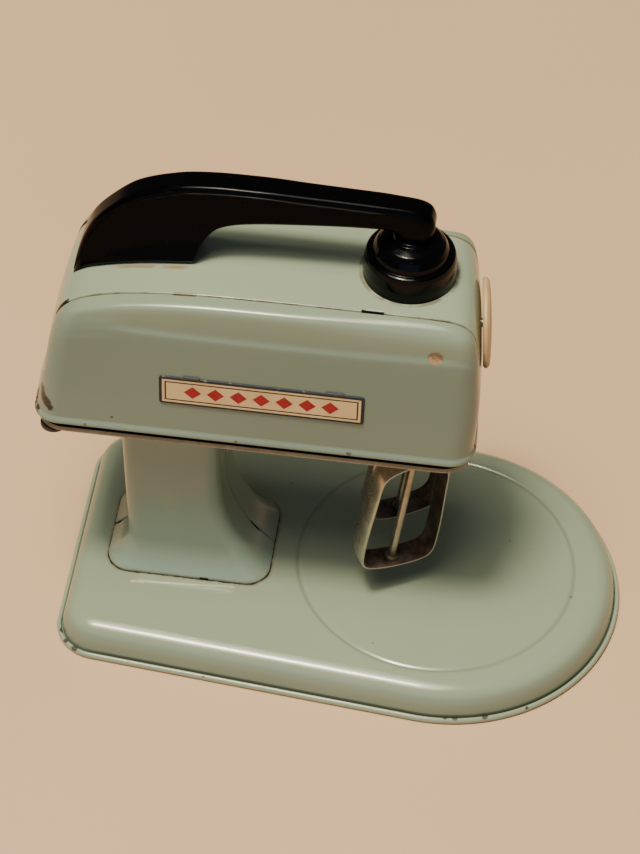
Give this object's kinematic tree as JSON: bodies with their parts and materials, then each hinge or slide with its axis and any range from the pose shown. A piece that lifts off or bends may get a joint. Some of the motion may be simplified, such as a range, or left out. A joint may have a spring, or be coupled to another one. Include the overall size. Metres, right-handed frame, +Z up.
{
  "type": "toy stand mixer",
  "caption": "Pressed-tin toy stand mixer with a round-fronted base, hollow post, lift-off hood with moulded handle, nose switch knob and two counter-turning loop beaters.",
  "frame": {"origin": "on the table under the middle of the object's box", "axes": "+X towards the nose and the round front of the base, -Y towards the side with the label plate, +Z up"},
  "size_m": [0.2072, 0.1272, 0.1848],
  "materials": {
    "mint_paint": "satin gloss enamel, lightly worn",
    "bare_tin": "dull bare tinplate, browned",
    "dark_tin": "dark rusted tinplate",
    "plain_steel": "plain zinc-plated steel",
    "beater_steel": "tarnished plate with brown rust",
    "brass": "dull brass",
    "copper": "lacquered winding",
    "magnet": "dark ferrite",
    "phenolic": "brown fibre board",
    "gear_plastic": "aged ivory moulding",
    "black_plastic": "glossy black moulding with fine scratches",
    "cream_plastic": "aged cream moulding, browned low down",
    "label_print": "printed cream plate with dark border",
    "cell_jacket": "plain printed jacket",
    "wire_red": "plain insulation",
    "wire_black": "plain insulation"
  },
  "bodies": {
    "stand": {"base_bottom_plate": "mint_paint", "base_shell": "mint_paint", "post_near_half": "mint_paint", "post_far_half": "mint_paint", "head_pan": "bare_tin", "battery_cradle": "bare_tin", "battery_cell": "cell_jacket", "contact_rear": "brass", "contact_front": "brass", "spindle_bushings": "brass", "frame_standoffs": "plain_steel", "gear_plate_lower": "plain_steel", "frame_pillars": "plain_steel", "gear_plate_upper": "plain_steel", "frame_screws": "plain_steel", "idler_pin": "plain_steel", "motor_can": "plain_steel", "motor_magnets": "magnet", "motor_end_cap": "phenolic", "motor_terminals": "brass", "switch_insulator": "phenolic", "switch_leaf": "brass", "wire_to_motor": "wire_red", "wire_to_switch": "wire_black", "latch_rivet": "plain_steel"},
    "hood": {"hood_top_strip": "mint_paint", "side_panel_near": "mint_paint", "side_panel_far": "mint_paint", "label_plate": "label_print", "handle": "black_plastic", "handle_pedestal": "black_plastic", "handle_screws": "plain_steel"},
    "knob": {"knob_disc": "cream_plastic", "knob_shaft": "plain_steel", "knob_cam": "brass"},
    "rotor": {"motor_shaft": "plain_steel", "motor_armature": "copper", "motor_pinion": "brass"},
    "idler": {"idler_pinion": "gear_plastic", "idler_gear": "gear_plastic"},
    "near_spindle": {"spindle_near": "plain_steel", "spindle_gear_near": "gear_plastic"},
    "far_spindle": {"spindle_far": "plain_steel", "spindle_gear_far": "gear_plastic"},
    "near_beater": {"beater_shaft_near": "beater_steel", "beater_band_near": "beater_steel"},
    "far_beater": {"beater_shaft_far": "beater_steel", "beater_band_far": "beater_steel"},
    "latch": {"latch_tab": "dark_tin"}
  },
  "joints": [
    {"name": "hood_lift", "type": "slide", "parent": "stand", "child": "hood", "axis": [0, 0, 1], "range_m": [0, 0.07]},
    {"name": "knob_turn", "type": "hinge", "parent": "hood", "child": "knob", "pos_m": [0.04409, 0, 0.1345], "axis": [0.9938, 0.0869, 0.0698], "range_deg": [0, 90]},
    {"name": "motor_spin", "type": "hinge", "parent": "stand", "child": "rotor", "pos_m": [0.00025, 0, 0.09386], "axis": [0.1045, 0, 0.9945], "continuous": true},
    {"name": "idler_spin", "type": "hinge", "parent": "stand", "child": "idler", "pos_m": [0.01079, -0.012, 0.09276], "axis": [0.1045, 0, 0.9945], "continuous": true},
    {"name": "near_spindle_spin", "type": "hinge", "parent": "stand", "child": "near_spindle", "pos_m": [0.0275, -0.012, 0.091], "axis": [0.1045, 0, 0.9945], "continuous": true},
    {"name": "far_spindle_spin", "type": "hinge", "parent": "stand", "child": "far_spindle", "pos_m": [0.0275, 0.012, 0.091], "axis": [0.1045, 0, 0.9945], "continuous": true},
    {"name": "near_beater_pull", "type": "slide", "parent": "near_spindle", "child": "near_beater", "axis": [-0.1045, 0, -0.9945], "range_m": [0, 0.011]},
    {"name": "far_beater_pull", "type": "slide", "parent": "far_spindle", "child": "far_beater", "axis": [-0.1045, 0, -0.9945], "range_m": [0, 0.011]},
    {"name": "latch_turn", "type": "hinge", "parent": "stand", "child": "latch", "pos_m": [-0.087, -0.0195, 0.0892], "axis": [0, 0, -1], "range_deg": [0, 90]}
  ],
  "couplings": [
    {"joint": "idler_spin", "follows": "motor_spin", "ratio": -0.33333},
    {"joint": "near_spindle_spin", "follows": "motor_spin", "ratio": 0.13333},
    {"joint": "far_spindle_spin", "follows": "motor_spin", "ratio": -0.13333}
  ]
}
